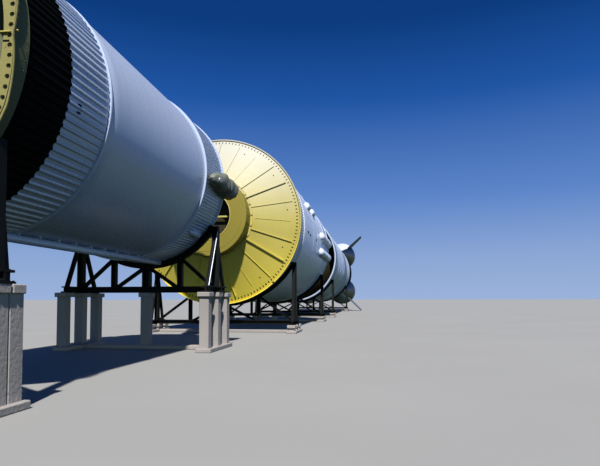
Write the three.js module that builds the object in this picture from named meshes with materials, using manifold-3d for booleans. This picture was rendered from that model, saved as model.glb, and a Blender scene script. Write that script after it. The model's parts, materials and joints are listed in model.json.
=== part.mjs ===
// A three-stage moon rocket on show, lying on cradles in separate stages: a 1:10 scale model, in millimetres.
// +X runs aft along the rocket, -Y is the side that faces the viewer, +Z is up and the floor is Z = 0.
import * as THREE from "three";
import { mergeVertices } from "three/addons/utils/BufferGeometryUtils.js";
import Module from "manifold-3d";

// Driving dimensions. Stations count aft along the axis, from zero just behind the third stage's ring.
const AXIS_HEIGHT = 690;
const SIDES = 40; // facets round a stage
const GAP = 0.3; // between pieces that touch
const THIRD_RADIUS = 330;
const STAGE_RADIUS = 503; // of the second and the first stage
const SKIN = 12; // thickness of a skirt
const STRIP_RADIUS = THIRD_RADIUS + 1;

const ESCAPE = { tip: -2214, motor: 33, skirt: 46, foot: -1504 };
const TOWER = { aft: -1196, motorEnd: 32, capsuleEnd: 44, tube: 7 };
const CAPSULE = { apex: -1204, base: -864, top: 36, radius: 195, edge: 12 };
const SERVICE = { forward: -864, aft: -414, radius: 195, quadStation: -760, quadReach: 26 };
const THIRD = { strip: 20, band: 157, skirt: 317, tank: 997, aft: 1214 };
const FLANGE = { forward: -26, aft: -20, inner: 314, outer: 343 };
const SECOND = { rim: 2190, skirt: 2405, tank: 3680, aft: 4040, thrust: 4150 };
const FIRST = { forward: 4896, skirt: 5252, tank: 6492, intertank: 7162, fuel: 7932, base: 8512 };
const HUB = { forward: 1938, aft: 2027, radius: 235, mouth: 140, wall: 8, bar: 10, barDepth: 60 };
const COVER = { rimRadius: 516, rimThick: 12, ribs: 24, ribTurn: -1.5, ribInner: 243, ribOuter: 470, rib: 5 };

const FAIRING = { tip: 7880, full: 8560, aft: 8680, tipRadius: 46, radius: 238, wall: 16, centre: 462 };
const FIN = { rootForward: 8230, tipForward: 8400, aft: 8660, root: 640, tip: 960, thick: 18 };

// Engines: length from gimbal to exit, then radii of exit, throat, chamber and gimbal ball.
const MAIN_ENGINE = { length: 570, exit: 186, throat: 46, chamber: 54, ball: 20, wall: 7, pump: 36, sides: 16 };
const UPPER_ENGINE = { length: 320, exit: 100, throat: 20, chamber: 25, ball: 12, wall: 4, pump: 15, sides: 12 };
const SERVICE_ENGINE = { length: 258, exit: 124, throat: 14, chamber: 19, ball: 11, wall: 3, pump: 8, sides: 16 };
const SECOND_ENGINE_RING = 267;
const FIRST_ENGINE_RING = 462;
const ENGINE_ANGLES = [45, 135, 225, 315];

const FRONT = ESCAPE.tip;
const REAR = FIRST.base + MAIN_ENGINE.ball + GAP + MAIN_ENGINE.length;

const WHITE = ["#e2e3ea", 0.45, 0.1];
const BLACK = ["#14151a", 0.6, 0.1];
const PRIMER = ["#7c8f63", 0.6, 0.2];
const YELLOW = ["#e6cf58", 0.55, 0.05];
const OCHRE = ["#a58f35", 0.6, 0.05];
const GREY = ["#595b60", 0.7, 0.1];
const BELL = ["#8f8a83", 0.4, 0.8];
const METAL = ["#b9bcc2", 0.35, 0.7];
const STEEL = ["#161a22", 0.55, 0.3];
const CONCRETE = ["#b7aeaa", 0.9, 0];

const wasm = await Module();
wasm.setup();

// The closed solid of a geometry, for joins and cuts.
function solidOf(geometry) {
  const plain = geometry.clone();
  plain.deleteAttribute("normal");
  plain.deleteAttribute("uv");
  const merged = mergeVertices(plain, 1e-3);
  const vertProperties = merged.attributes.position.array;
  const triVerts = new Uint32Array(merged.index.array);
  return new wasm.Manifold(new wasm.Mesh({ numProp: 3, vertProperties, triVerts }));
}

function geometryOf(solid) {
  const mesh = solid.getMesh();
  const geometry = new THREE.BufferGeometry();
  geometry.setAttribute("position", new THREE.BufferAttribute(mesh.vertProperties.slice(), 3));
  geometry.setIndex(new THREE.BufferAttribute(mesh.triVerts.slice(), 1));
  const faceted = geometry.toNonIndexed();
  faceted.computeVertexNormals();
  return faceted;
}

function joined(geometries) {
  return geometryOf(geometries.map(solidOf).reduce((whole, piece) => whole.add(piece)));
}

function cut(geometry, ...tools) {
  return geometryOf(tools.map(solidOf).reduce((whole, tool) => whole.subtract(tool), solidOf(geometry)));
}

// A piece turned about the X axis from [station, radius] points, which end on the axis or close on themselves.
function turned(points, sides = SIDES) {
  let area = 0;
  points.forEach(([x, r], i) => {
    const [nextX, nextR] = points[(i + 1) % points.length];
    area += x * nextR - nextX * r;
  });
  const ordered = area < 0 ? points : [...points].reverse();
  const profile = ordered.map(([station, radius]) => new THREE.Vector2(radius, station));
  return new THREE.LatheGeometry(profile, sides).rotateZ(-Math.PI / 2);
}

function plug(from, to, radius, sides = SIDES) {
  return turned([[from, 0], [from, radius], [to, radius], [to, 0]], sides);
}

function ring(from, to, inner, outer) {
  return turned([[from, inner], [from, outer], [to, outer], [to, inner], [from, inner]]);
}

// Points from a dome's rim to its apex; a negative rise bulges forward.
function dome(rim, radius, rise, steps = 5) {
  const points = [];
  for (let i = 0; i <= steps; i++) {
    const angle = (i / steps) * (Math.PI / 2);
    points.push([rim + rise * Math.sin(angle), i === steps ? 0 : radius * Math.cos(angle)]);
  }
  return points;
}

const rad = (degrees) => (degrees * Math.PI) / 180;

// A place at an angle round the axis: 0 faces the viewer's side and 90 is the top.
const around = (angle, radius) => [-radius * Math.cos(rad(angle)), radius * Math.sin(rad(angle))];

// Turns a piece that was made above the axis to such an angle.
const towards = (geometry, angle) => geometry.rotateX(rad(90 - angle));

// A square bar between two points.
function bar(from, to, size) {
  const start = new THREE.Vector3(...from);
  const way = new THREE.Vector3(...to).sub(start);
  const middle = start.clone().addScaledVector(way, 0.5);
  const turn = new THREE.Quaternion().setFromUnitVectors(new THREE.Vector3(1, 0, 0), way.clone().normalize());
  const geometry = new THREE.BoxGeometry(way.length(), size, size);
  return geometry.applyQuaternion(turn).translate(middle.x, middle.y, middle.z);
}

// A block given by its two corners.
function block([x0, y0, z0], [x1, y1, z1]) {
  const geometry = new THREE.BoxGeometry(x1 - x0, y1 - y0, z1 - z0);
  return geometry.translate((x0 + x1) / 2, (y0 + y1) / 2, (z0 + z1) / 2);
}

const root = new THREE.Group();
const rocket = new THREE.Group();
rocket.position.set(-(FRONT + REAR) / 2, 0, AXIS_HEIGHT);
root.add(rocket);

function add(name, geometry, [color, roughness, metalness]) {
  const mesh = new THREE.Mesh(geometry, new THREE.MeshStandardMaterial({ color, roughness, metalness }));
  mesh.name = name;
  rocket.add(mesh);
}

// An engine about the X axis with its gimbal point at zero: ball, chamber, hollow bell and a pump beside it.
function engine({ length, exit, throat, chamber, ball, wall, pump, sides }, pumpAngle) {
  const neck = length * 0.19;
  const steps = 4;
  const bell = (inset, from) =>
    Array.from({ length: steps + 1 }, (_, i) => {
      const t = i / steps;
      return [from + (length - from) * t, throat - inset + (exit - throat) * t * (1.55 - 0.55 * t)];
    });
  const outer = [
    [-ball, 0],
    [-ball * 0.7, ball * 0.7],
    [0, ball * 0.98],
    [ball * 1.4, ball * 0.7],
    [ball * 1.6, chamber],
    [neck * 0.7, chamber],
    ...bell(0, neck),
  ];
  const inner = [...bell(wall, neck).reverse(), [neck, 0]];
  const [pumpY, pumpZ] = around(pumpAngle, chamber + pump * 1.25);
  const pumpBody = plug(ball * 1.8, length * 0.36, pump, 10).translate(0, pumpY, pumpZ);
  const strut = bar([neck * 0.55, 0, 0], [neck * 0.55, pumpY, pumpZ], pump * 0.8);
  return joined([turned([...outer, ...inner], sides), pumpBody, strut]);
}

// The spacecraft ahead of the stages: escape rocket, lattice, capsule and service module.
const escapeLength = ESCAPE.foot - ESCAPE.tip;
add("escape_rocket", turned([
  [ESCAPE.tip, 0],
  [ESCAPE.tip + 20, 7],
  [ESCAPE.tip + 62, 17],
  [ESCAPE.tip + 150, 20],
  [ESCAPE.tip + 165, ESCAPE.motor],
  [ESCAPE.foot - escapeLength * 0.12, ESCAPE.motor],
  [ESCAPE.foot - 12, ESCAPE.skirt],
  [ESCAPE.foot, ESCAPE.skirt],
  [ESCAPE.foot, 0],
], 24), WHITE);

function escapeTower() {
  const legs = [];
  const levels = 3;
  const corners = [[-1, -1], [1, -1], [1, 1], [-1, 1]];
  const corner = ([y, z], level) => {
    const t = level / levels;
    const half = TOWER.motorEnd + (TOWER.capsuleEnd - TOWER.motorEnd) * t;
    return [ESCAPE.foot + GAP + 3 + (TOWER.aft - ESCAPE.foot - 2 * GAP - 6) * t, y * half, z * half];
  };
  corners.forEach((here, i) => {
    const next = corners[(i + 1) % corners.length];
    legs.push(bar(corner(here, 0), corner(here, levels), TOWER.tube));
    for (let level = 0; level < levels; level++) {
      legs.push(bar(corner(here, level), corner(next, level), TOWER.tube * 0.8));
      legs.push(bar(corner(here, level), corner(next, level + 1), TOWER.tube * 0.6));
    }
    legs.push(bar(corner(here, levels), corner(next, levels), TOWER.tube * 0.8));
  });
  const fence = turned([
    [CAPSULE.apex - 300, 0],
    [CAPSULE.apex - 300, 900],
    [ESCAPE.foot + GAP, 900],
    [ESCAPE.foot + GAP, 0],
  ], 4);
  const base = plug(CAPSULE.apex - GAP, CAPSULE.base, CAPSULE.radius);
  return cut(joined(legs), fence, base);
}
add("escape_tower", escapeTower(), METAL);

add("command_module", turned([
  [CAPSULE.apex, 0],
  [CAPSULE.apex, CAPSULE.top + 26],
  [CAPSULE.base - CAPSULE.edge, CAPSULE.radius],
  [CAPSULE.base - GAP, CAPSULE.radius - CAPSULE.edge],
  [CAPSULE.base - GAP, 0],
]), METAL);

function serviceModule() {
  const shell = plug(SERVICE.forward, SERVICE.aft, SERVICE.radius);
  const quads = ENGINE_ANGLES.map((angle) => {
    const foot = SERVICE.radius - 4;
    const from = [SERVICE.quadStation - 34, -22, foot];
    const to = [SERVICE.quadStation + 34, 22, SERVICE.radius + SERVICE.quadReach];
    return towards(block(from, to), angle);
  });
  return joined([shell, ...quads]);
}
add("service_module", serviceModule(), METAL);

const gimbals = {
  service: SERVICE.aft + SERVICE_ENGINE.ball + GAP,
  third: 1356 + UPPER_ENGINE.ball + GAP,
  second: SECOND.thrust + UPPER_ENGINE.ball + GAP,
  first: FIRST.base + MAIN_ENGINE.ball + GAP,
};
add("service_engine", engine(SERVICE_ENGINE, 90).translate(gimbals.service, 0, 0), BELL);

// Third stage.
add("third_flange_ring", ring(FLANGE.forward, FLANGE.aft, FLANGE.inner, FLANGE.outer), YELLOW);
add("third_primer_strip", ring(FLANGE.aft + GAP, THIRD.strip, THIRD_RADIUS - SKIN, STRIP_RADIUS), PRIMER);
add("third_forward_band", ring(THIRD.strip + GAP, THIRD.band, THIRD_RADIUS - SKIN, THIRD_RADIUS), BLACK);
add("third_forward_skirt", ring(THIRD.band + GAP, THIRD.skirt, THIRD_RADIUS - SKIN, THIRD_RADIUS), WHITE);
const THIRD_DOME = THIRD_RADIUS - SKIN - 2;
const AFT_RISE = 258;
add("third_tank", turned([
  ...dome(THIRD.skirt + GAP, THIRD_DOME, -THIRD.skirt + 8).reverse(),
  [THIRD.skirt + GAP, THIRD_RADIUS],
  [THIRD.tank, THIRD_RADIUS],
  ...dome(THIRD.tank, THIRD_DOME, AFT_RISE),
]), WHITE);

// A pod or fairing on a stage's side, cut to sit on the shell.
const seated = (geometry, from, to, radius) => cut(geometry, plug(from, to, radius + GAP));

function thirdAftSkirt() {
  const shell = ring(THIRD.tank + GAP, THIRD.aft, THIRD_RADIUS - SKIN, THIRD_RADIUS);
  const motors = [-42, 222].map((angle) => {
    const nose = turned([[1055, 0], [1085, 16], [1135, 16], [1135, 0]], 12);
    return towards(nose.translate(0, 0, THIRD_RADIUS - 2), angle);
  });
  return joined([shell, ...motors]);
}
add("third_aft_skirt", cut(thirdAftSkirt(), plug(THIRD.tank, THIRD.aft + 1, THIRD_RADIUS - SKIN)), WHITE);

const THRUST_CONE = { forward: 1150, radius: 232, aft: 1356, aftRadius: 48 };
add("third_thrust_structure", cut(
  turned([
    [THRUST_CONE.forward, 0],
    [THRUST_CONE.forward, THRUST_CONE.radius],
    [THRUST_CONE.aft, THRUST_CONE.aftRadius],
    [THRUST_CONE.aft, 0],
  ]),
  turned([[THIRD.tank, 0], ...dome(THIRD.tank, THIRD_DOME + GAP, AFT_RISE + GAP)]),
), PRIMER);
add("third_engine", engine(UPPER_ENGINE, 90).translate(gimbals.third, 0, 0), BELL);

const POD = { forward: 997, aft: 1262, radius: 43, centre: 351 };
[["right", -3.7], ["left", 183.7]].forEach(([side, angle]) => {
  const shape = turned([
    [POD.forward, 0],
    [POD.forward + 22, POD.radius * 0.6],
    [POD.forward + 80, POD.radius],
    [POD.aft - 70, POD.radius],
    [POD.aft - 14, POD.radius * 0.7],
    [POD.aft, 0],
  ], 16).translate(0, 0, POD.centre);
  add(`third_control_pod_${side}`, seated(towards(shape, angle), THIRD.band, THIRD.aft, THIRD_RADIUS), GREY);
});

const THIRD_TUNNEL = { forward: 120, aft: 1165, half: 12, reach: 20, angle: -78 };
const thirdTunnel = block(
  [THIRD_TUNNEL.forward, -THIRD_TUNNEL.half, THIRD_RADIUS - 6],
  [THIRD_TUNNEL.aft, THIRD_TUNNEL.half, THIRD_RADIUS + THIRD_TUNNEL.reach],
);
add("third_tunnel", seated(towards(thirdTunnel, THIRD_TUNNEL.angle), 0, THIRD.aft, THIRD_RADIUS), WHITE);

// Second stage, with the conical cover over its forward end and the cover's drum-shaped hub.
const COVER_EDGE = SECOND.rim - COVER.rimThick;
const COVER_SLOPE = (COVER_EDGE - HUB.aft) / (STAGE_RADIUS - HUB.radius);
const coverStation = (radius) => HUB.aft + COVER_SLOPE * (radius - HUB.radius);

function cover() {
  const cone = turned([
    [HUB.aft, 0],
    [HUB.aft, HUB.radius],
    [COVER_EDGE, STAGE_RADIUS],
    [COVER_EDGE, COVER.rimRadius],
    [SECOND.rim, COVER.rimRadius],
    [SECOND.rim, 0],
  ]);
  const ribs = Array.from({ length: COVER.ribs }, (_, i) => {
    const from = [coverStation(COVER.ribInner), 0, COVER.ribInner];
    const to = [coverStation(COVER.ribOuter), 0, COVER.ribOuter];
    return towards(bar(from, to, COVER.rib), (360 / COVER.ribs) * i + COVER.ribTurn);
  });
  return joined([cone, ...ribs]);
}
add("second_cover", cover(), YELLOW);

function hub() {
  const inside = HUB.radius - HUB.wall;
  const drum = turned([
    [HUB.forward, HUB.mouth],
    [HUB.forward, HUB.radius],
    [HUB.aft - GAP, HUB.radius],
    [HUB.aft - GAP, inside],
    [HUB.forward + HUB.wall, inside],
    [HUB.forward + HUB.wall, HUB.mouth],
    [HUB.forward, HUB.mouth],
  ]);
  const reach = inside + HUB.wall / 2;
  const station = HUB.forward + HUB.barDepth;
  const crossbar = bar([station, -reach, 0], [station, reach, 0], HUB.bar);
  return joined([drum, crossbar]);
}
add("second_hub", hub(), OCHRE);
add("second_forward_skirt", plug(SECOND.rim + GAP, SECOND.skirt, STAGE_RADIUS), WHITE);

const FEED = { forward: 3340, aft: 4000, radius: 38, angles: [5, -10, 94, 171, 186] };
const HOODS = { forward: [2430, 2560], aft: [2680, 2850], radius: 32, angle: 14 };

function secondTank() {
  const hoods = [HOODS.forward, HOODS.aft].map(([from, to]) => {
    const shape = turned([[from, 0], [from + 12, HOODS.radius], [to - 30, HOODS.radius], [to, 0]], 12);
    return towards(shape.translate(0, 0, STAGE_RADIUS - 1), HOODS.angle);
  });
  return joined([plug(SECOND.skirt + GAP, SECOND.tank, STAGE_RADIUS), ...hoods]);
}
add("second_tank", secondTank(), WHITE);
add("second_aft_skirt", ring(SECOND.tank + GAP, SECOND.aft, STAGE_RADIUS - SKIN, STAGE_RADIUS), WHITE);
FEED.angles.forEach((angle, i) => {
  const shape = turned([
    [FEED.forward, 0],
    [FEED.forward + 40, FEED.radius],
    [FEED.aft, FEED.radius],
    [FEED.aft, 0],
  ], 16).translate(0, 0, STAGE_RADIUS);
  add(`second_feed_fairing_${i + 1}`, seated(towards(shape, angle), SECOND.skirt, SECOND.aft, STAGE_RADIUS), WHITE);
});
add("second_thrust_structure", turned([
  [SECOND.tank + GAP, 0],
  [SECOND.tank + GAP, STAGE_RADIUS - SKIN - 2],
  [SECOND.aft, STAGE_RADIUS - SKIN - 2],
  [SECOND.thrust, 330],
  [SECOND.thrust, 0],
]), BLACK);

// First stage.
add("first_forward_skirt", ring(FIRST.forward, FIRST.skirt, STAGE_RADIUS - SKIN, STAGE_RADIUS), WHITE);
add("first_oxidiser_tank", turned([
  ...dome(FIRST.skirt + GAP, STAGE_RADIUS - SKIN - 2, -330).reverse(),
  [FIRST.skirt + GAP, STAGE_RADIUS],
  [FIRST.tank, STAGE_RADIUS],
  [FIRST.tank, 0],
]), WHITE);
add("first_intertank", plug(FIRST.tank + GAP, FIRST.intertank, STAGE_RADIUS), WHITE);
add("first_fuel_tank", plug(FIRST.intertank + GAP, FIRST.fuel, STAGE_RADIUS), WHITE);
add("first_thrust_section", plug(FIRST.fuel + GAP, FIRST.base, STAGE_RADIUS), BLACK);

function engineFairing() {
  const scoop = turned([
    [FAIRING.tip, 0],
    [FAIRING.tip, FAIRING.tipRadius],
    [FAIRING.full, FAIRING.radius],
    [FAIRING.aft, FAIRING.radius],
    [FAIRING.aft, FAIRING.radius - FAIRING.wall],
    [FIRST.base + GAP, FAIRING.radius - FAIRING.wall],
    [FIRST.base + GAP, 0],
  ], 32).translate(0, 0, FAIRING.centre);
  const outline = new THREE.Shape([
    new THREE.Vector2(FIN.rootForward, FIN.root),
    new THREE.Vector2(FIN.tipForward, FIN.tip),
    new THREE.Vector2(FIN.aft, FIN.tip),
    new THREE.Vector2(FIN.aft, FIN.root + 50),
    new THREE.Vector2(FIRST.base - 20, FIN.root),
  ]);
  const fin = new THREE.ExtrudeGeometry(outline, { depth: FIN.thick, bevelEnabled: false });
  fin.translate(0, 0, -FIN.thick / 2).rotateX(Math.PI / 2);
  return joined([scoop, fin]);
}
ENGINE_ANGLES.forEach((angle, i) => {
  const fairing = towards(engineFairing(), angle);
  add(`first_fairing_${i + 1}`, seated(fairing, FAIRING.tip - 10, FAIRING.aft + 10, STAGE_RADIUS), WHITE);
});

// Engines of the second and the first stage: four that swing on their gimbals round a fixed one.
const stages = [
  { name: "second", kind: UPPER_ENGINE, ringRadius: SECOND_ENGINE_RING, gimbal: gimbals.second },
  { name: "first", kind: MAIN_ENGINE, ringRadius: FIRST_ENGINE_RING, gimbal: gimbals.first },
];
stages.forEach(({ name, kind, ringRadius, gimbal }) => {
  ENGINE_ANGLES.forEach((angle, i) => {
    const [y, z] = around(angle, ringRadius);
    add(`${name}_engine_${i + 1}`, engine(kind, angle + 180).translate(gimbal, y, z), BELL);
  });
  add(`${name}_engine_centre`, engine(kind, 90).translate(gimbal, 0, 0), BELL);
});

// Cradles: a saddle under the shell, posts and braces on a base beam, and splayed side legs.
// Columns: name, station, radius carried, level of the base, fore and aft reach of the side legs, and the angles
// from straight down of the saddle's tips and of the side posts.
const CRADLES = [
  ["spacecraft", -600, SERVICE.radius, -450, 100, 61, 62],
  ["third_forward", -3, STRIP_RADIUS, -455, 40, 56, 56],
  ["third_aft", 1196, THIRD_RADIUS, -455, 120, 58.5, 62],
  ["second_forward", 2290, STAGE_RADIUS, -640, 100, 61, 62],
  ["second_aft", 3890, STAGE_RADIUS, -640, 100, 61, 62],
  ["first_forward", 5060, STAGE_RADIUS, -640, 100, 61, 62],
  ["first_aft", 7740, STAGE_RADIUS, -640, 100, 61, 62],
];
const SADDLE = { thick: 24, wide: 26, halfAngle: 63 };
const POST = 26;
const BRACE = 14;
const PAD = { length: 56, width: 50, thick: 18, column: 38, strip: 16 };

// Places across a cradle: middle of the saddle's thickness, side posts, inner posts and middle of the base beam.
function across(radius, base, tip, spread) {
  const under = radius + SADDLE.thick / 2;
  const inner = radius * 0.45;
  return {
    under,
    side: under * Math.sin(rad(spread)),
    sideTop: -under * Math.cos(rad(tip)),
    inner,
    innerTop: -Math.sqrt(under ** 2 - inner ** 2),
    foot: base + POST / 2,
  };
}

function saddle(station, radius, tipLevel) {
  const low = rad(-90 - SADDLE.halfAngle);
  const high = rad(-90 + SADDLE.halfAngle);
  const arc = new THREE.Shape();
  arc.absarc(0, 0, radius + GAP, low, high, false);
  arc.absarc(0, 0, radius + SADDLE.thick, high, low, true);
  const steps = (2 * SADDLE.halfAngle * SIDES) / 360;
  const band = new THREE.ExtrudeGeometry(arc, { depth: SADDLE.wide, curveSegments: steps, bevelEnabled: false });
  // The outline's x, y and depth become the model's Y, Z and X.
  band.applyMatrix4(new THREE.Matrix4().set(0, 0, 1, 0, 1, 0, 0, 0, 0, 1, 0, 0, 0, 0, 0, 1));
  band.translate(station - SADDLE.wide / 2, 0, 0);
  return cut(band, block([station - SADDLE.wide, -radius * 2, tipLevel], [station + SADDLE.wide, radius * 2, 0]));
}

function cradle(station, radius, base, reach, tip, spread) {
  const { under, side, sideTop, inner, innerTop, foot } = across(radius, base, tip, spread);
  const bars = [bar([station, -side - POST, foot], [station, side + POST, foot], POST)];
  bars.push(bar([station, 0, -under], [station, 0, foot], POST * 1.2));
  [-1, 1].forEach((hand) => {
    bars.push(bar([station, hand * side, sideTop], [station, hand * side, foot], POST));
    bars.push(bar([station, hand * inner, innerTop], [station, hand * inner, foot], POST * 0.8));
    bars.push(bar([station, 0, -under], [station, hand * inner, foot], BRACE));
    bars.push(bar([station, hand * inner, innerTop], [station, hand * side, foot], BRACE));
    bars.push(bar([station - reach, hand * side, foot], [station + reach, hand * side, foot], POST));
    [-1, 1].forEach((way) => {
      const top = [station, hand * side, sideTop - POST];
      bars.push(bar(top, [station + way * (reach - POST / 2), hand * side, foot], BRACE));
    });
  });
  return joined([saddle(station, radius, sideTop), ...bars]);
}

// A footing: pads on slender columns under the posts and legs, on strips that lie on the floor.
function footing(station, radius, base, reach, tip, spread) {
  const { side } = across(radius, base, tip, spread);
  const top = base - GAP;
  const box = (x, y, halfLength, halfWidth, low, high) =>
    block([x - halfLength, y - halfWidth, low], [x + halfLength, y + halfWidth, high]);
  const stripTop = -AXIS_HEIGHT + PAD.strip;
  const pieces = [box(station, 0, PAD.width / 2, side, -AXIS_HEIGHT, stripTop)];
  const pads = [[station, 0]];
  [-1, 1].forEach((hand) => {
    pieces.push(box(station, hand * side, reach + PAD.length / 2, PAD.width / 2 + 6, -AXIS_HEIGHT, stripTop));
    [-1, 0, 1].forEach((way) => pads.push([station + way * reach, hand * side]));
  });
  pads.forEach(([x, y]) => {
    pieces.push(box(x, y, PAD.column / 2, PAD.column / 2, -AXIS_HEIGHT, top));
    pieces.push(box(x, y, Math.min(PAD.length, reach * 0.9) / 2, PAD.width / 2, top - PAD.thick, top));
  });
  return joined(pieces);
}

CRADLES.forEach(([name, ...sizes]) => {
  add(`${name}_cradle`, cradle(...sizes), STEEL);
  add(`${name}_footing`, footing(...sizes), CONCRETE);
});

export default root;
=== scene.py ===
"""A three-stage moon rocket lying on show cradles, as a 1:10 scale model, dressed for rendering.

Blender works in metres. Tables and helpers here work in millimetres: stations count aft from the third stage's
forward end along the axis, and angles go round the axis, 0 facing the viewer's side (-Y) and 90 the top.
"""
import json
from math import atan, copysign, cos, hypot, pi, radians, sin, sqrt
from types import SimpleNamespace as Sizes

import bmesh
import bpy
from mathutils import Matrix, Vector


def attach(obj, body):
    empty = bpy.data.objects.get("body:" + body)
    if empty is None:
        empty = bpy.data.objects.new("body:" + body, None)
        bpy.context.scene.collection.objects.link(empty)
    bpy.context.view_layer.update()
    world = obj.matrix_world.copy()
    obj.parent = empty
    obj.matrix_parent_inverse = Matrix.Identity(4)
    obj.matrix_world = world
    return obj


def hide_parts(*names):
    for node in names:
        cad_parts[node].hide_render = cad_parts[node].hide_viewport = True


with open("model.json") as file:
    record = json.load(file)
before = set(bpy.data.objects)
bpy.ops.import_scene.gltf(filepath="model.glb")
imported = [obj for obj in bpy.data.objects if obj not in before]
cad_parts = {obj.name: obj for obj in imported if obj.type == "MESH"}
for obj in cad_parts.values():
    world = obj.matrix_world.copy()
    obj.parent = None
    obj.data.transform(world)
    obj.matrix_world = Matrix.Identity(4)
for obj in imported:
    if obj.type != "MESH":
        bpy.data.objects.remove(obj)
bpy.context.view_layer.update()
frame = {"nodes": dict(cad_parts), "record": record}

# Driving dimensions in mm and degrees, most of them as in the solids.
AXIS_HEIGHT = 690
MIDDLE = 3444.15
SIDES = 160
THIRD_RADIUS = 330
STAGE_RADIUS = 503
SKIN = 12
STRIP_RADIUS = THIRD_RADIUS + 1
GAP = 0.3
ENGINE_ANGLES = (45, 135, 225, 315)
# The forward domes reach so far aft of their joints, inside the tanks.
LAP = 20
# Edges that bend more than this stay sharp.
SHARP_ANGLE = 32

# Third stage: stations along it, then the forward ring, ribs and trim.
THIRD = Sizes(dome=8, strip=20, band=157, lining=290, skirt=317, tank=997, aft=1214)
THIRD_INNER = THIRD_RADIUS - SKIN
# The ring is flatter towards each splice, where its web, lip and hole circle have these sizes; the swells add to
# them past the flats, which reach so many degrees.
FLANGE = Sizes(forward=-26, aft=-22.5, inner=314, web=332, lip=1, hole_circle=326, hole=5,
               swell=15, lip_swell=5.5, flat=21, holes=112, first_hole=0.46)
SPLICES = (-2.7, 117.3, 237.3)
TANK_RADIUS = 326.5
RIBS = {"count": 114, "valley": 325, "crest": 328.4}
AFT_RIBS = {"count": 160, "valley": 325.5, "crest": THIRD_RADIUS}
TANK_INNER = THIRD_INNER - 2
# The thrust cone: its ends along the axis, its radii there and its stringers.
CONE = Sizes(forward=1150, aft=1356, foot=232, head=48, stringers=36)
# The control pods' angles.
POD = {"right": -3.7, "left": 183.7}
POD_CENTRE = 351
POD_SIDES = 48
TUNNEL_ANGLE = -78

# Second stage: stations along it, then the hub, cover, ribs and trim.
SECOND = Sizes(rim=2190, skirt=2405, tank=3680, aft=4040, thrust=4150)
HUB = Sizes(forward=1938, aft=2027, radius=235, mouth=140, wall=8, bar_depth=60)
RIM_RADIUS = 516
STAGE_INNER = 480
STAGE_RIBS = {"count": 180, "valley": 497, "crest": 504}
COVER_EDGE = SECOND.rim - 12
COVER_SLOPE = (COVER_EDGE - HUB.aft) / (STAGE_RADIUS - HUB.radius)
# Four ribs that repeat round the cone. Columns: width, height, radii of the inner and outer end.
COVER_RIBS = ((2.2, 2.0, 262, 452), (3.0, 4.0, 246, 476), (7.0, 9.0, 238, 478), (4.0, 6.0, 246, 478))
# The fairings of the feed lines. The profile's columns: station, radius.
FEED_ANGLES = (5, -10, 94, 171, 186)
FEED_PROFILE = ((3340, 0), (3343, 14), (3352, 25), (3368, 34), (3390, 38), (3998, 38), (4000, 36), (4000, 31),
                (3960, 31), (3960, 0))

# First stage: stations along it, then the fairings and fins.
FIRST = Sizes(forward=4896, skirt=5252, tank=6492, intertank=7162, fuel=7932, base=8512)
FIRST_INNER = 491
FIRST_DOME = 489
INTERTANK_RIBS = {"count": 108, "valley": 494, "crest": 505}
# Columns: station, radius round the fairing's own line.
FAIRING = ((7880, 0), (7880, 40), (7884, 46), (8200, 140), (8500, 222), (8560, 238), (8678, 238), (8680, 236),
           (8680, 222), (8513, 222), (8513, 0))
# Columns: radius, leading edge, trailing edge. The foot is sunk in the fairing, ahead of its hollow end.
FIN = ((640, 8230, 8492), (690, 8256.5625, 8660), (960, 8400, 8660))
FIN_HALF = 9
OUTER_ENGINES = 462

# Engines: length from gimbal to exit; radii of exit, throat, chamber, gimbal ball and pump; wall; count of hoops.
MAIN_ENGINE = Sizes(length=570, exit=186, throat=46, chamber=54, ball=20, wall=7, pump=36, hoops=7)
UPPER_ENGINE = Sizes(length=320, exit=100, throat=20, chamber=25, ball=12, wall=4, pump=15, hoops=4)
SERVICE_ENGINE = Sizes(length=258, exit=124, throat=14, chamber=19, ball=11, wall=3, pump=8, hoops=2)
# Columns: stage, kind, station of the gimbal, radius of the ring of outer engines.
RINGS = (("second", UPPER_ENGINE, 4162.3, 267), ("first", MAIN_ENGINE, 8532.3, OUTER_ENGINES))
SERVICE_GIMBAL = -402.7
THIRD_GIMBAL = 1368.3

# Spacecraft. Columns of the profiles: station, radius.
ESCAPE_MOTOR = (
    (-2214, 0), (-2210, 4), (-2194, 7), (-2152, 17), (-2140, 18.5), (-2064, 20), (-2062, 21), (-2058, 21), (-2049, 33),
    (-1960, 33), (-1958, 34), (-1954, 34), (-1952, 33), (-1600, 33), (-1598, 34), (-1592, 34), (-1590, 33), (-1516, 46),
    (-1505, 46), (-1504, 45), (-1504, 0),
)
CAPSULE = ((-1204, 0), (-1204, 56), (-1200, 62), (-880, 193), (-876, 195), (-872, 194), (-864.3, 184), (-864.3, 0))
MODULE = ((-864, 0), (-864, 193), (-862, 195), (-416, 195), (-414, 193), (-414, 0))
MODULE_RADIUS = 195
THRUSTERS = -760

# Cradles, in the solids' columns: name, station, radius carried, level of the base, reach of the side legs, and the
# angles from straight down of the saddle's tips and of the side posts.
CRADLES = (
    ("spacecraft", -600, 195, -450, 100, 61, 62),
    ("third_forward", -3, STRIP_RADIUS, -455, 40, 56, 56),
    ("third_aft", 1196, THIRD_RADIUS, -455, 120, 58.5, 62),
    ("second_forward", 2290, STAGE_RADIUS, -640, 100, 61, 62),
    ("second_aft", 3890, STAGE_RADIUS, -640, 100, 61, 62),
    ("first_forward", 5060, STAGE_RADIUS, -640, 100, 61, 62),
    ("first_aft", 7740, STAGE_RADIUS, -640, 100, 61, 62),
)
SADDLE = Sizes(thick=24, wide=26)
POST = 26
BRACE = 14
PAD = Sizes(length=56, width=50, thick=18, column=38, strip=16)

# Floor, light and camera, in metres, with the camera's angles in radians.
FLOOR = 2000
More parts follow.
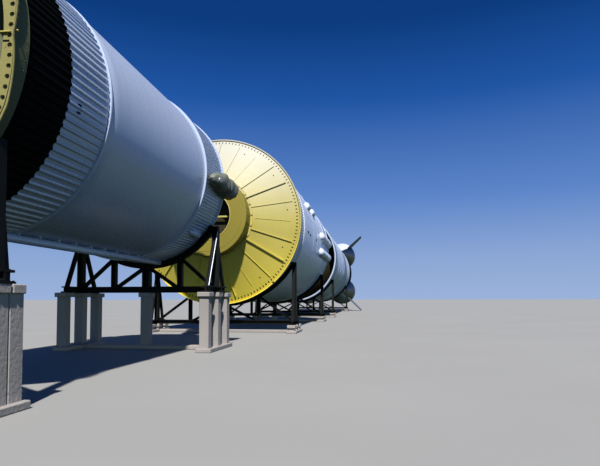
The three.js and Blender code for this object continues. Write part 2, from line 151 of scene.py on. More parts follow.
# The ground's light on the rocket: the side it is lit on, how that fades sideways and downwards, and two colours.
GROUND = Sizes(towards=(-0.6, -0.8, 0), fade=(-0.72, -0.25), reach=(-0.55, -0.20),
               shaded=(0.006, 0.009, 0.006), sunlit=(0.21, 0.29, 0.17))
# Columns: share of the way up the dome, colour.
DOME = (
    (0.5, (0.33, 0.45, 0.70)),
    (0.54, (0.26, 0.385, 0.665)),
    (0.598, (0.109, 0.238, 0.584)),
    (0.686, (0.0144, 0.093, 0.371)),
    (0.745, (0.004, 0.044, 0.209)),
    (1.0, (0.003, 0.03, 0.15)),
)
SUN = Sizes(towards=(-0.623, -0.160, 0.766), strength=6.3, width=1.5, colour=(1.0, 0.97, 0.92))
CAMERA = Sizes(place=(-4.24815, -0.96457, 0.20514), yaw=0.152176, pitch=0.042373, roll=-0.001381,
               lens=30, sensor=36, shift=0.0756)

AXIS = Matrix.Translation((-MIDDLE / 1000, 0, AXIS_HEIGHT / 1000)) @ Matrix.Scale(0.001, 4)


def at(station, angle=0, radius=0):
    """A place whose X runs aft, whose Z points away from the axis, at an angle and radius round it."""
    turn = Matrix.Rotation(radians(90 - angle), 4, "X")
    return AXIS @ Matrix.Translation((station, 0, 0)) @ turn @ Matrix.Translation((0, 0, radius))


def point_at(station, angle, radius):
    """The point at the heart of such a place."""
    return at(station, angle, radius).to_translation()


def outward(station, angle, radius):
    """A place like at(), but with X pointing away from the axis."""
    return at(station, angle, radius) @ Matrix.Rotation(radians(-90), 4, "Y")


def upright(x, y, level):
    """A place with X pointing up, at x aft, y towards the far side and a level above the axis."""
    return AXIS @ Matrix.Translation((x, y, level)) @ Matrix.Rotation(radians(-90), 4, "Y")


def around(count, phase=0.0):
    """Angles spaced evenly round the axis; the phase is the first one's share of a step."""
    return [360 / count * (i + phase) for i in range(count)]


def between(station, start, end):
    """The radius at a station on the straight line between two (station, radius) points."""
    share = (station - start[0]) / (end[0] - start[0])
    return start[1] + (end[1] - start[1]) * share


# Mesh helpers: each adds faces to the piece that is being made.
def quads(bm, rows, closed=True):
    """Faces between rows of points of one length."""
    grid = [[bm.verts.new(point) for point in row] for row in rows]
    for low, high in zip(grid, grid[1:]):
        count = len(low)
        for i in range(count if closed else count - 1):
            j = (i + 1) % count
            bm.faces.new((low[i], low[j], high[j], high[i]))


def capped(bm, rows):
    """Faces between rows of points, and one over each end."""
    quads(bm, rows)
    for row in (rows[0], rows[-1]):
        bm.faces.new([bm.verts.new(point) for point in row])


def turned(bm, profile, sides=SIDES, place=AXIS):
    """A profile of (along, radius) points, turned about the place's X axis."""
    angles = [2 * pi * i / sides for i in range(sides)]
    quads(bm, [[place @ Vector((x, r * cos(a), r * sin(a))) for a in angles] for x, r in profile])


def closed_ring(bm, start, end, inner, outer, edge=0.8):
    """A ring of rectangular section with eased edges."""
    turned(bm, [
        (start, inner), (start, outer - edge), (start + edge, outer), (end - edge, outer),
        (end, outer - edge), (end, inner), (start, inner),
    ])


def bands(bm, stations, half, top, foot, crest, sides=SIDES):
    """Raised bands round the axis; half is a foot's half width and top a crest's, foot and crest their radii."""
    for station in stations:
        profile = [(station - half, foot), (station - top, crest), (station + top, crest), (station + half, foot)]
        turned(bm, profile, sides)


def block(bm, low, high, place=AXIS, edge=0.6):
    """A block between two corners, with eased edges."""
    made = bmesh.ops.create_cube(bm, size=1)
    size = Vector(high) - Vector(low)
    centre = (Vector(high) + Vector(low)) / 2
    verts = made["verts"]
    bmesh.ops.transform(bm, verts=verts, matrix=Matrix.Translation(centre) @ Matrix.Diagonal((*size, 1)))
    edges = list({e for v in verts for e in v.link_edges})
    eased = bmesh.ops.bevel(bm, geom=edges, offset=edge, segments=1, affect="EDGES")
    corners = {v for f in eased["faces"] for v in f.verts}
    bmesh.ops.transform(bm, verts=list(corners), matrix=place)


def swept(bm, points, radius, sides=8, place=AXIS):
    """A round tube through points, with closed ends."""
    spots = [Vector(p) for p in points]
    ways = [(b - a).normalized() for a, b in zip(spots, spots[1:])]
    ways = [ways[0]] + [(a + b).normalized() for a, b in zip(ways, ways[1:])] + [ways[-1]]
    side = ways[0].orthogonal().normalized()
    rows = [[place @ spots[0]] * sides]
    for spot, way in zip(spots, ways):
        side = (side - way * side.dot(way)).normalized()
        over = way.cross(side)
        angles = [2 * pi * i / sides for i in range(sides)]
        rows.append([place @ (spot + (side * cos(a) + over * sin(a)) * radius) for a in angles])
    rows.append([place @ spots[-1]] * sides)
    quads(bm, rows)


# One rib's section. Columns: share of the pitch, share of the height.
RIB = ((0.20, 0), (0.28, 0.62), (0.38, 0.95), (0.56, 0.95), (0.66, 0.62), (0.74, 0))


def ribbed(bm, start, end, count, valley, crest, inner, edge=1.5, closed=(True, True)):
    """A skirt with round-topped ribs outside and a plain inside; the ribs taper off at its closed ends."""
    pitch = 2 * pi / count
    angles = [pitch * (i + share) for i in range(count) for share, height in RIB]
    heights = [height for share, height in RIB] * count

    def row(station, share):
        radii = [valley + (crest - valley) * share * height for height in heights]
        return [AXIS @ Vector((station, r * cos(a), r * sin(a))) for r, a in zip(radii, angles)]

    def plain(station, radius):
        return [AXIS @ Vector((station, radius * cos(a), radius * sin(a))) for a in angles]

    taper = 2 * edge + crest - valley
    first = [row(start, 0), row(start + edge, 0), row(start + taper, 1)] if closed[0] else [row(start, 1)]
    last = [row(end - taper, 1), row(end - edge, 0), row(end, 0)] if closed[1] else [row(end, 1)]
    quads(bm, [plain(start, inner), *first, *last, plain(end, inner), plain(start, inner)])


def bolts(bm, places, radius, height):
    """Hexagonal bolt heads, each standing along its place's X."""
    head = [(-height, 0), (-height, radius), (height * 0.8, radius), (height, radius * 0.8), (height, 0)]
    for place in places:
        turned(bm, head, 6, place)


def dome(rim, radius, rise, steps=14):
    """Profile points from a dome's rim to its apex; a negative rise bulges forward."""
    turns = [pi / 2 * i / steps for i in range(steps + 1)]
    return [(rim + rise * sin(t), max(radius * cos(t), 0)) for t in turns]


# Materials. Every one is built from noise in the object's own space, so it keeps its place in every view.
def node(tree, kind, inputs):
    """A new node; each of its inputs is given a value or the socket that feeds it."""
    made = tree.nodes.new(kind)
    for key, value in inputs.items():
        if isinstance(value, bpy.types.NodeSocket):
            tree.links.new(value, made.inputs[key])
        else:
            made.inputs[key].default_value = value
    return made


def shader(name, rough, metal=0.0, specular=0.5):
    """A new material, its node tree, its surface's inputs and the object's own coordinates."""
    material = bpy.data.materials.new(name)
    material.use_nodes = True
    tree = material.node_tree
    surface = tree.nodes["Principled BSDF"].inputs
    surface["Roughness"].default_value = rough
    surface["Metallic"].default_value = metal
    surface["Specular IOR Level"].default_value = specular
    return material, tree, surface, tree.nodes.new("ShaderNodeTexCoord").outputs["Object"]


def noise(tree, source, scale, detail=4.0, stretch=(1, 1, 1)):
    """Noise of a scale in 1/m, stretched along axes."""
    mapping = node(tree, "ShaderNodeMapping", {"Vector": source, "Scale": stretch})
    inputs = {"Vector": mapping.outputs["Vector"], "Scale": scale, "Detail": detail}
    return node(tree, "ShaderNodeTexNoise", inputs).outputs["Fac"]


def spread(tree, value, low, high, to_low=0.0, to_high=1.0):
    """A value moved from one range to another and held within it."""
    inputs = {"Value": value, "From Min": low, "From Max": high, "To Min": to_low, "To Max": to_high}
    return node(tree, "ShaderNodeMapRange", inputs).outputs["Result"]


def mixed(tree, share, first, second):
    """A colour between two, each a tuple or a socket."""
    mix = tree.nodes.new("ShaderNodeMix")
    mix.data_type = "RGBA"
    tree.links.new(share, mix.inputs[0])
    for socket, colour in ((mix.inputs[6], first), (mix.inputs[7], second)):
        if isinstance(colour, tuple):
            socket.default_value = (*colour, 1)
        else:
            tree.links.new(colour, socket)
    return mix.outputs[2]


def worked_out(tree, operation, first, second=0.0):
    """The outcome of an operation on two values, each a number or a socket."""
    made = node(tree, "ShaderNodeMath", {0: first, 1: second})
    made.operation = operation
    return made.outputs[0]


def weathered(name, base, blotch, streak, rough, metal=0.0, specular=0.5, grain=0.15, streaks=0.5, wear=None):
    """Paint or metal with soft blotches, streaks that run down, fine grain and, if asked, worn specks."""
    material, tree, surface, place = shader(name, rough, metal, specular)
    blotches = spread(tree, noise(tree, place, 2.2, 5), 0.42, 0.72)
    colour = mixed(tree, blotches, base, blotch)
    runs = spread(tree, noise(tree, place, 6, 3, (7, 0.6, 0.35)), 0.5, 0.78, 0, streaks)
    colour = mixed(tree, runs, colour, streak)
    if wear:
        specks = spread(tree, noise(tree, place, 70, 5), 0.66, 0.74)
        colour = mixed(tree, specks, colour, wear)
    tree.links.new(colour, surface["Base Color"])
    fine = noise(tree, place, 160, 3)
    tree.links.new(spread(tree, fine, 0.3, 0.7, max(rough - 0.08, 0), rough + 0.1), surface["Roughness"])
    bump = node(tree, "ShaderNodeBump", {"Strength": grain, "Distance": 0.0015, "Height": fine})
    tree.links.new(bump.outputs["Normal"], surface["Normal"])
    return material


def painted(material):
    """A material's node tree, its colour input, what feeds that, and the place's X, Y and Z."""
    tree = material.node_tree
    colour = tree.nodes["Principled BSDF"].inputs["Base Color"]
    place = tree.nodes.new("ShaderNodeTexCoord").outputs["Object"]
    parts = node(tree, "ShaderNodeSeparateXYZ", {"Vector": place}).outputs
    return tree, colour, colour.links[0].from_socket, parts


def painted_light_by_height(material, pale, low, high):
    """Fades a paint towards another colour between two heights: painted light, not paint faded by the sun."""
    tree, colour, paint, parts = painted(material)
    tree.links.new(mixed(tree, spread(tree, parts["Z"], low, high), paint, pale), colour)


def quartered(material):
    """Turns the quarter on each side of a paint black, parted at 45 degrees round the axis."""
    tree, colour, paint, parts = painted(material)
    sideways = worked_out(tree, "ABSOLUTE", parts["Y"])
    upwards = worked_out(tree, "ABSOLUTE", worked_out(tree, "SUBTRACT", parts["Z"], AXIS_HEIGHT / 1000))
    black = spread(tree, worked_out(tree, "SUBTRACT", sideways, upwards), -0.001, 0.001)
    tree.links.new(mixed(tree, black, paint, (0.006, 0.008, 0.010)), colour)


# Columns: base colour, blotch colour, streak colour, roughness, and then options.
CLEAN_WHITE = ((0.67, 0.74, 0.90), (0.62, 0.69, 0.84), (0.51, 0.57, 0.69), 0.3)
PAINTS = {
    "white_paint": ((0.45, 0.53, 0.70), (0.42, 0.49, 0.65), (0.35, 0.40, 0.51), 0.30,
                    {"specular": 0.9, "streaks": 0.3, "grain": 0.03}),
    "clean_white": (*CLEAN_WHITE, {"specular": 0.9, "streaks": 0.3, "grain": 0.03}),
    "quartered": (*CLEAN_WHITE, {"streaks": 0.3, "grain": 0.05}),
    "black_paint": ((0.0015, 0.002, 0.0015), (0.003, 0.003, 0.003), (0.005, 0.005, 0.004), 0.7,
                    {"specular": 0.04}),
    "yellow_paint": ((0.45, 0.38, 0.08), (0.49, 0.42, 0.11), (0.36, 0.30, 0.05), 0.55,
                     {"specular": 0.4, "streaks": 0.25, "grain": 0.08}),
    "flange_yellow": ((0.275, 0.255, 0.095), (0.225, 0.19, 0.055), (0.11, 0.085, 0.03), 0.6,
                      {"specular": 0.3, "streaks": 0.7, "grain": 0.3, "wear": (0.09, 0.065, 0.03)}),
    "ochre_paint": ((0.235, 0.195, 0.026), (0.26, 0.21, 0.035), (0.17, 0.14, 0.018), 0.6,
                    {"specular": 0.3, "grain": 0.1}),
    # Painted shade: a near-black colour for the deep shade inside the hub and the first stage's forward end.
    "painted_shade_inside": ((0.03, 0.026, 0.012), (0.05, 0.04, 0.018), (0.015, 0.012, 0.008), 0.6, {"specular": 0.2}),
    "primer": ((0.11, 0.12, 0.06), (0.13, 0.14, 0.075), (0.07, 0.08, 0.035), 0.6, {"specular": 0.2}),
    "bell_metal": ((0.30, 0.28, 0.26), (0.20, 0.17, 0.15), (0.12, 0.10, 0.09), 0.38, {"metal": 0.85, "grain": 0.25}),
    "bare_metal": ((0.55, 0.56, 0.58), (0.47, 0.48, 0.51), (0.34, 0.35, 0.37), 0.34, {"metal": 0.75}),
    "grey_wrap": ((0.15, 0.16, 0.125), (0.20, 0.21, 0.18), (0.05, 0.055, 0.04), 0.55, {"grain": 0.8}),
    "black_steel": ((0.005, 0.006, 0.006), (0.007, 0.008, 0.007), (0.012, 0.011, 0.009), 0.6,
                    {"specular": 0.12, "wear": (0.018, 0.015, 0.012)}),
    "concrete": ((0.34, 0.31, 0.29), (0.28, 0.26, 0.25), (0.21, 0.20, 0.19), 0.9,
                 {"grain": 0.7, "wear": (0.22, 0.20, 0.19)}),
    "fin_grey": ((0.10, 0.12, 0.14), (0.13, 0.15, 0.17), (0.07, 0.08, 0.09), 0.45, {}),
}
MATERIALS = {name: weathered(name, *columns, **options) for name, (*columns, options) in PAINTS.items()}
# Columns: the colour that the yellow fades to, and the heights in metres where that starts and is full. Both fades are
# painted light: a pale painted highlight over the top, and a brighter yellow low down that stands in for sun the
# cover's slope does not catch.
for pale, low, high in (((0.46, 0.45, 0.37), 0.66, 1.12), ((0.87, 0.71, 0.09), 0.60, 0.25)):
    painted_light_by_height(MATERIALS["yellow_paint"], pale, low, high)
quartered(MATERIALS["quartered"])


def placed(name, data):
    """A new object in the scene."""
    made = bpy.data.objects.new(name, data)
    bpy.context.scene.collection.objects.link(made)
    return made


def piece(name, bm, slot, stands_for=(), finish=None, body="root"):
    """Makes a piece of the gathered faces, for the solids it stands for; a finish overrides the slot's material."""
    bmesh.ops.remove_doubles(bm, verts=bm.verts, dist=1e-6)
    bmesh.ops.dissolve_degenerate(bm, edges=bm.edges, dist=1e-7)
    bmesh.ops.recalc_face_normals(bm, faces=bm.faces)
    mesh = bpy.data.meshes.new(name)
    bm.to_mesh(mesh)
    bm.free()
    mesh.shade_smooth()
    mesh.set_sharp_from_angle(angle=radians(SHARP_ANGLE))
    mesh.materials.append(MATERIALS[finish or slot])
    made = placed(name, mesh)
    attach(made, body)
    if stands_for:
        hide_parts(*stands_for)


# Third stage.
def swell(angle):
    """How far the ring has swelled, as a share: from 0 at a splice to 1 past the flats."""
    off = min(abs((angle - splice + 180) % 360 - 180) for splice in SPLICES)
    return min(off / FLANGE.flat, 1)


def flange_ring():
    """The forward ring: a web with a circle of holes and, past a groove, a lip."""
    bm = bmesh.new()
    front, back = FLANGE.forward, FLANGE.aft
    inner = FLANGE.inner
    pitch = 360 / FLANGE.holes
    corners = [(-1, -1), (0, -1), (1, -1), (1, 0), (1, 1), (0, 1), (-1, 1), (-1, 0)]

    def cell(i, station, share):
        """The outline of one cell of the web, drawn in towards the rim of its hole."""
        middle = FLANGE.first_hole + pitch * i
        centre = point_at(station, middle, FLANGE.hole_circle + FLANGE.swell * swell(middle))
        row = []
        for across, out in corners:
            turn = middle + pitch * across / 2
            outer = FLANGE.web + FLANGE.swell * swell(turn)
            edge = point_at(station, turn, inner + (outer - inner) * (out + 1) / 2)
            rim = centre + (edge - centre).normalized() * FLANGE.hole / 1000
            row.append(rim.lerp(edge, share))
        return row

    for i in range(FLANGE.holes):
        quads(bm, [cell(i, front, 1), cell(i, front, 0), cell(i, back, 0), cell(i, back, 1)])
    turned(bm, [(back, inner), (front, inner)], FLANGE.holes * 2)
    angles = around(240)
    # Columns: station, share of the way from the web's edge to the lip's.
    lip = [(front, 0), (front + 0.2, 0.06), (front + 3, 0.1), (front + 3, 0.36), (front + 0.2, 0.4), (front, 0.44),
           (front, 0.9), (front + 0.8, 1), (back - 0.5, 1), (back, 0.95), (back, 0)]
    rows = []
    for x, share in lip:
        flat = FLANGE.web + FLANGE.lip * share
        more = FLANGE.swell + FLANGE.lip_swell * share
        rows.append([point_at(x, angle, flat + more * swell(angle)) for angle in angles])
    quads(bm, rows)
    piece("third_forward_ring", bm, "yellow_paint", ["third_flange_ring"], finish="flange_yellow")


flange_ring()

bm = bmesh.new()
for splice in SPLICES:
    block(bm, (FLANGE.forward - 4, -1.3, -15), (FLANGE.forward + 1, 1.3, 16), at(0, splice + 0.8, FLANGE.inner), 0.3)
    turned(bm, [(-6, 0), (-6, 2), (5, 2), (6, 1.3), (6, 0)], 12, outward(-18.5, splice + 1.9, STRIP_RADIUS))
piece("third_ring_splices", bm, "yellow_paint")

# Black marks on the web beside each splice bar: painted shadows of the bars, not gaps.
bm = bmesh.new()
for splice in SPLICES:
    block(bm, (FLANGE.forward - 0.3, -1.9, -13), (FLANGE.forward + 1, 1.9, 0), at(0, splice - 2, 327), 0.2)
piece("third_ring_painted_shadows", bm, "black_paint")

bm = bmesh.new()
turned(bm, [
    (FLANGE.aft + GAP, THIRD_INNER), (FLANGE.aft + GAP, STRIP_RADIUS - 0.6),
    (FLANGE.aft + 1, STRIP_RADIUS), (THIRD.strip - 0.6, STRIP_RADIUS),
    (THIRD.strip, STRIP_RADIUS - 0.6), (THIRD.strip, THIRD_INNER), (FLANGE.aft + GAP, THIRD_INNER),
], 2 * RIBS["count"])
bolts(bm, [outward(12, angle, STRIP_RADIUS) for angle in around(RIBS["count"], 0.5)], 1.2, 0.9)
piece("third_primer_ring", bm, "primer", ["third_primer_strip"])

bm = bmesh.new()
closed_ring(bm, FLANGE.aft + 1, THIRD.lining, THIRD_INNER - 1.5, THIRD_INNER - GAP, edge=0.3)
piece("third_skirt_lining", bm, "primer")

bm = bmesh.new()
ribbed(bm, THIRD.strip + GAP, THIRD.band, **RIBS, inner=THIRD_INNER, closed=(True, False))
piece("third_black_band", bm, "black_paint", ["third_forward_band"])

bm = bmesh.new()
ribbed(bm, THIRD.band + GAP, THIRD.skirt - 6, **RIBS, inner=THIRD_INNER, closed=(False, True))
closed_ring(bm, THIRD.skirt - 6, THIRD.skirt, THIRD_INNER, THIRD_RADIUS + 0.5)
piece("third_white_skirt", bm, "white_paint", ["third_forward_skirt"])

bm = bmesh.new()
for station, angle in ((194, -10), (196, -12.9)):
    block(bm, (-4.5, -1.8, -3), (4.5, 1.8, 1.4), at(station, angle, TANK_RADIUS + 1))
piece("third_vents", bm, "black_paint")

bm = bmesh.new()
turned(bm, [*reversed(dome(THIRD.skirt + GAP, TANK_INNER, THIRD.dome - THIRD.skirt)),
            (THIRD.skirt + LAP, TANK_INNER), (THIRD.skirt + LAP, 0)])
piece("third_forward_dome", bm, "primer")

bm = bmesh.new()
turned(bm, [
    (THIRD.skirt + LAP + 1, 0), (THIRD.skirt + LAP + 1, TANK_INNER + GAP),
    (THIRD.skirt + GAP, TANK_INNER + GAP), (THIRD.skirt + GAP, TANK_RADIUS - 1),
    (THIRD.skirt + 2, TANK_RADIUS), *[(station, TANK_RADIUS) for station in range(360, 980, 40)],
    (THIRD.tank - 7, TANK_RADIUS), (THIRD.tank - 7, THIRD_RADIUS + 3.4),
    (THIRD.tank - 6.4, THIRD_RADIUS + 4), (THIRD.tank - 0.6, THIRD_RADIUS + 4),
    (THIRD.tank, THIRD_RADIUS + 3.4), (THIRD.tank, TANK_INNER),
    *dome(THIRD.tank, TANK_INNER, 258)[1:],
])
piece("third_tank_shell", bm, "white_paint", ["third_tank"])

bm = bmesh.new()
for angle in (-30, 90, 210):
    block(bm, (550, -1.1, -1), (THIRD.tank - 9, 1.1, 0.35), at(0, angle, TANK_RADIUS), 0.2)
piece("third_tank_seams", bm, "white_paint")

bm = bmesh.new()
ribbed(bm, THIRD.tank + GAP, THIRD.aft - 4, **AFT_RIBS, inner=THIRD_INNER)
closed_ring(bm, THIRD.aft - 4, THIRD.aft, THIRD_INNER, THIRD_RADIUS + 4)
ullage_motor = [(1050, 0), (1055, 6), (1068, 12), (1085, 16), (1135, 16), (1137, 14), (1137, 0)]
for angle in (-42, 222):
    turned(bm, ullage_motor, 24, at(0, angle, THIRD_RADIUS - 2))
piece("third_ribbed_aft_skirt", bm, "white_paint", ["third_aft_skirt"])

bm = bmesh.new()
turned(bm, [(CONE.forward, 0), (CONE.forward, 214), (1158, 222), (1340, 58), (1352, 50), (CONE.aft, CONE.head),
            (CONE.aft, 0)], 96)
slope = (CONE.foot - CONE.head) / (CONE.aft - CONE.forward)
for angle in around(CONE.stringers):
    swept(bm, [(1160, 0, 226 - 10 * slope), (1340, 0, 62)], 2.4, 4, at(0, angle))
closed_ring(bm, CONE.forward, 1156, 205, 231)
piece("third_thrust_cone", bm, "primer", ["third_thrust_structure"])


def control_pod(side, angle):
    """A wrapped attitude pod: a pointed forward lobe with a ridge, a seam and a rounder aft lobe."""
    bm = bmesh.new()
    # Columns: station, half width round the stage, reach outwards, lift of the widest place.
    sections = ((997, 1, 2, 0), (1006, 14, 13, 1), (1040, 27, 26, 3), (1090, 38, 36, 5), (1122, 42, 40, 5),
                (1130, 41, 38, 3), (1135, 36, 34, 0), (1141, 41, 39, -1), (1150, 43, 42, -2), (1205, 43, 43, -2),
                (1236, 39, 39, -1), (1255, 27, 27, 0), (1262, 2, 3, 0))
    finer = [Vector(a).lerp(Vector(b), share / 4) for a, b in zip(sections, sections[1:]) for share in range(4)]
    rows = []
    for station, wide, out, lift in [*finer, sections[-1]]:
        row = []
        for i in range(POD_SIDES):
            turn = 2 * pi * i / POD_SIDES
            # A rounded square, flatter on its sides than a circle, with the wrap's folds on it.
            across, away = (copysign(abs(f(turn)) ** 0.8, f(turn)) for f in (cos, sin))
            fold = 1 - 0.045 * (1 + sin(3 * turn + station / 13)) - 0.03 * (1 + sin(7 * turn - station / 6))
            row.append(at(station, angle, POD_CENTRE) @ Vector((0, across * wide * fold + lift, away * out * fold)))
        rows.append(row)
    capped(bm, rows)
    piece(f"third_pod_wrap_{side}", bm, "grey_wrap", [f"third_control_pod_{side}"])


for side, angle in POD.items():
    control_pod(side, angle)
bm = bmesh.new()
for angle in POD.values():
    turned(bm, [(-8, 0), (-8, 10), (0, 10), (1.5, 8), (1.5, 0)], 32, outward(1038, angle, POD_CENTRE + 23))
    turned(bm, [(1244, 0), (1244, 10), (1258, 15), (1260, 13), (1246, 0)], 24, at(0, angle, POD_CENTRE + 16))
piece("third_pod_caps", bm, "bare_metal")

bm = bmesh.new()
tunnel = [(118, 0), (121, 8), (128, 11), (1155, 11), (1162, 8), (1165, 0)]
turned(bm, tunnel, 20, at(0, TUNNEL_ANGLE, THIRD_RADIUS + 9))
for station in range(160, 1160, 80):
    block(bm, (station - 3, -15, -8), (station + 3, 15, 3), at(0, TUNNEL_ANGLE, THIRD_RADIUS))
piece("third_cable_tunnel", bm, "white_paint", ["third_tunnel"])


# Second stage, with the conical cover over its forward end and the cover's drum-shaped hub.
def cover_station(radius):
    """The station of the cone's surface at a radius."""
    return HUB.aft + COVER_SLOPE * (radius - HUB.radius)


def on_cover(radius, angle):
    """A place on the cone with X pointing out of its surface and Z up its slope."""
    lean = Matrix.Rotation(atan(COVER_SLOPE), 4, "Y")
    return at(cover_station(radius), angle, radius) @ lean


# The station of the step that the cone starts with, and the radius that it ends at.
COVER_STEP = cover_station(252) - 3
COVER_FOOT = 505
bm = bmesh.new()
turned(bm, [
    (HUB.aft, 0), (HUB.aft, HUB.radius), (COVER_STEP, 236.5), (COVER_STEP, 250),
    (COVER_STEP + 3, 251.5),
    *[(cover_station(radius), radius) for radius in (300, 350, 400, 450, COVER_FOOT)],
    (cover_station(COVER_FOOT) + 5, 506.5), (cover_station(COVER_FOOT) + 5, 509),
    (COVER_EDGE - 4, 509.5), (COVER_EDGE - 4, RIM_RADIUS - 1), (COVER_EDGE - 3, RIM_RADIUS),
    (SECOND.rim - 1, RIM_RADIUS), (SECOND.rim, RIM_RADIUS - 1), (SECOND.rim, 0),
])
for i, angle in enumerate(around(24)):
    wide, tall, foot, head = COVER_RIBS[i % 4]
    along = (head - foot) * hypot(1, COVER_SLOPE)
    block(bm, (-tall, -wide / 2, 0), (1.5, wide / 2, along), on_cover(foot, angle - 1.5), 0.4)
    block(bm, (-5, -7, 0), (0, 7, 11), at(COVER_STEP, angle + 4, 238), 1)
piece("second_ribbed_cover", bm, "yellow_paint", ["second_cover"])

# Dark bolt heads round the cover, and two rim blocks; the bolts' black is partly painted shade for the shade in their
# holes.
bm = bmesh.new()
for angle in around(144):
    block(bm, (-1.8, -2.2, -6), (1, 2.2, 6), on_cover(491, angle), 0.5)
bolts(bm, [on_cover(440, angle + 7.3) for angle in around(12)], 4.0, 1.2)
for angle in (-48, 132):
    block(bm, (COVER_EDGE - 5, -6, 507), (COVER_EDGE, 6, RIM_RADIUS - 0.5), at(0, angle))
piece("second_cover_bolts_and_hole_shade", bm, "black_steel")

bm = bmesh.new()
front, mouth, wall = HUB.forward, HUB.mouth, HUB.wall
inside = HUB.radius - wall
turned(bm, [
    (front + wall, mouth), (front + 1, mouth), (front, mouth + 1),
    (front, mouth + 4), (front + 1, mouth + 5), (front + 1, 208),
    (front + 2, 209), (front + 2, HUB.radius - 3), (front + 4, HUB.radius),
    (HUB.aft - GAP, HUB.radius), (HUB.aft - GAP, inside), (front + wall, inside),
    (front + wall, mouth),
])
for angle in around(36):
    block(bm, (front + 8, -1, HUB.radius - 2), (HUB.aft - 2, 1, HUB.radius + 1), at(0, angle), 0.2)
piece("second_hub_drum", bm, "ochre_paint", ["second_hub"])

bm = bmesh.new()
bar, reach = front + HUB.bar_depth, inside + wall / 2
block(bm, (bar - 5, -reach, -5), (bar + 5, reach, 5))
closed_ring(bm, front - 0.8, front + 5, mouth - 1.5, mouth + 3)
piece("second_hub_crossbar", bm, "yellow_paint")

# The hub's lining, near-black: painted shade inside the drum.
bm = bmesh.new()
turned(bm, [
    (front + wall + 1, mouth + 2), (front + wall + 1, inside - 0.5),
    (HUB.aft - 1.2, inside - 0.5), (HUB.aft - 1.2, 0), (HUB.aft - 0.6, 0), (HUB.aft - 0.6, inside),
    (front + wall + 0.4, inside), (front + wall + 0.4, mouth + 2),
    (front + wall + 1, mouth + 2),
])
piece("second_hub_lining", bm, "ochre_paint", finish="painted_shade_inside")

bm = bmesh.new()
closed_ring(bm, SECOND.rim + GAP, SECOND.rim + 14, STAGE_INNER, STAGE_RADIUS + 3)
ribbed(bm, SECOND.rim + 14, SECOND.skirt - 6, **STAGE_RIBS, inner=STAGE_INNER)
closed_ring(bm, SECOND.skirt - 6, SECOND.skirt, STAGE_INNER, STAGE_RADIUS + 2)
piece("second_ribbed_forward_skirt", bm, "white_paint", ["second_forward_skirt"], finish="clean_white")

bm = bmesh.new()
bolts(bm, [outward(SECOND.skirt + 1, angle, STAGE_RADIUS + 2) for angle in around(120)], 2.4, 1.6)
closed_ring(bm, SECOND.skirt - 4, SECOND.skirt + 6, 500, 505.5)
piece("second_skirt_joint", bm, "bare_metal")

bm = bmesh.new()
turned(bm, [
    (SECOND.skirt + GAP, STAGE_INNER), (SECOND.skirt + GAP, STAGE_RADIUS - 1),
    (SECOND.skirt + 2, STAGE_RADIUS),
    *[(station, STAGE_RADIUS) for station in range(2480, 3620, 60)],
    (SECOND.tank - 9, STAGE_RADIUS), (SECOND.tank - 8, STAGE_RADIUS + 2),
    (SECOND.tank - 2, STAGE_RADIUS + 2), (SECOND.tank, STAGE_RADIUS), (SECOND.tank, STAGE_INNER),
])
bands(bm, (2900, 3150, 3400), 1.6, 1.2, STAGE_RADIUS - 1, STAGE_RADIUS + 0.5)
for angle in around(12):
    block(bm, (SECOND.skirt + 8, -1.2, -1), (SECOND.tank - 10, 1.2, 0.5), at(0, angle + 10, STAGE_RADIUS), 0.2)
piece("second_tank_shell", bm, "white_paint", ["second_tank"], finish="clean_white")

bm = bmesh.new()
ribbed(bm, SECOND.tank + GAP, SECOND.aft - 8, **STAGE_RIBS, inner=STAGE_INNER)
closed_ring(bm, SECOND.aft - 8, SECOND.aft, STAGE_INNER, STAGE_RADIUS + 3)
piece("second_ribbed_aft_skirt", bm, "white_paint", ["second_aft_skirt"], finish="clean_white")

for i, angle in enumerate(FEED_ANGLES, 1):
    bm = bmesh.new()
    place = at(0, angle, STAGE_RADIUS - 1)
    turned(bm, FEED_PROFILE, 40, place)
    for station in (3560, 3780):
        turned(bm, [(station - 2, 37), (station - 2, 39), (station + 2, 39), (station + 2, 37)], 40, place)
    piece(f"second_feed_fairing_shell_{i}", bm, "white_paint", [f"second_feed_fairing_{i}"], finish="clean_white")

bm = bmesh.new()
for start, end in ((2740, 2880), (3010, 3150)):
    hood = [(start, 0), (start + 2, 14), (start + 7, 22), (start + 16, 26), (end - 34, 26), (end - 12, 18), (end, 0)]
    turned(bm, hood, 32, at(0, 22.5, STAGE_RADIUS - 1))
piece("second_vent_hoods", bm, "white_paint", finish="clean_white")

bm = bmesh.new()
turned(bm, [
    (SECOND.tank + GAP, 0), (SECOND.tank + GAP, 479), (SECOND.aft - 20, 479),
    (SECOND.aft - 20, 489), (SECOND.aft, 489), (SECOND.thrust - 4, 334), (SECOND.thrust, 330),
    (SECOND.thrust, 0),
], 120)
for angle in around(60):
    swept(bm, [(SECOND.aft + 2, 0, 487), (SECOND.thrust - 5, 0, 336)], 2.6, 4, at(0, angle))
piece("second_thrust_cone", bm, "black_paint", ["second_thrust_structure"])

# Black blocks for the vent slots in the tank's side: painted shade for the dark inside the slots.
bm = bmesh.new()
for station, angle in ((2598, -2.2), (2705, -3), (3061, -2.3)):
    block(bm, (-26, -6, -3), (26, 6, 1.5), at(station, angle, STAGE_RADIUS))
piece("second_vent_slots_painted_shade", bm, "black_paint")

# First stage.
bm = bmesh.new()
closed_ring(bm, FIRST.forward, FIRST.forward + 12, FIRST_INNER, STAGE_RADIUS + 3)
ribbed(bm, FIRST.forward + 12, FIRST.skirt, **STAGE_RIBS, inner=FIRST_INNER)
piece("first_ribbed_forward_skirt", bm, "white_paint", ["first_forward_skirt"])

